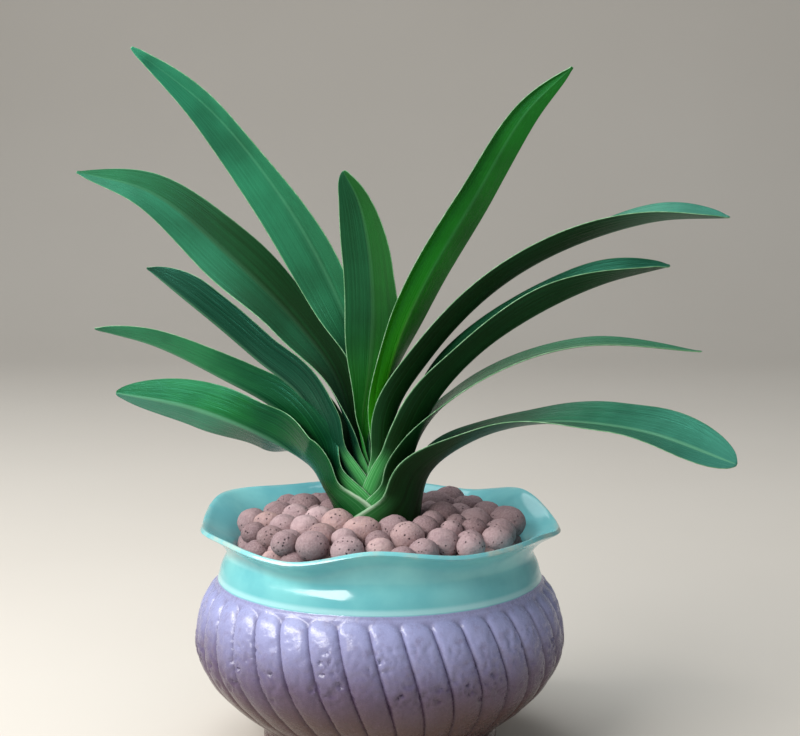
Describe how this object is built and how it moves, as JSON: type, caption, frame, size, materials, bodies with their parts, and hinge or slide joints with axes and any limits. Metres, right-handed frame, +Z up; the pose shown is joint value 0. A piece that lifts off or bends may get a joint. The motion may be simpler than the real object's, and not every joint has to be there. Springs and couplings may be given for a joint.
{
  "type": "potted cast iron plant",
  "caption": "Potted plant with arching strap leaves that clasp each other in two ranks, in a round pot with a wavy rim, a waisted neck and a ribbed body, topped with clay pebbles.",
  "frame": {"origin": "middle of the pot's flat base, on the plane it rests on", "axes": "+Z up; +X to the right and +Y away from the viewer in the pictured view, so the leaves fan out mainly along X"},
  "size_m": [0.3927, 0.2244, 0.4257],
  "materials": {
    "pot_ceramic": "fired ceramic, glossy teal glaze above the shoulder and matt lilac glaze on the ribs",
    "potting_mix": "dark damp potting mix",
    "clay_pebbles": "fired clay pebbles, dull and pitted",
    "stem": "pale fleshy stem and roots",
    "leaf": "leathery green leaf, satin, with fine parallel veins"
  },
  "bodies": {
    "root": {"pot": "pot_ceramic", "potting_mix": "potting_mix", "clay_pebbles": "clay_pebbles", "stem": "stem", "leaf_centre": "leaf", "leaf_left_1": "leaf", "leaf_right_1": "leaf", "leaf_left_2": "leaf", "leaf_right_2": "leaf", "leaf_left_3": "leaf", "leaf_right_3": "leaf", "leaf_left_4": "leaf", "leaf_right_4": "leaf", "leaf_left_5": "leaf", "leaf_right_5": "leaf"}
  },
  "joints": []
}
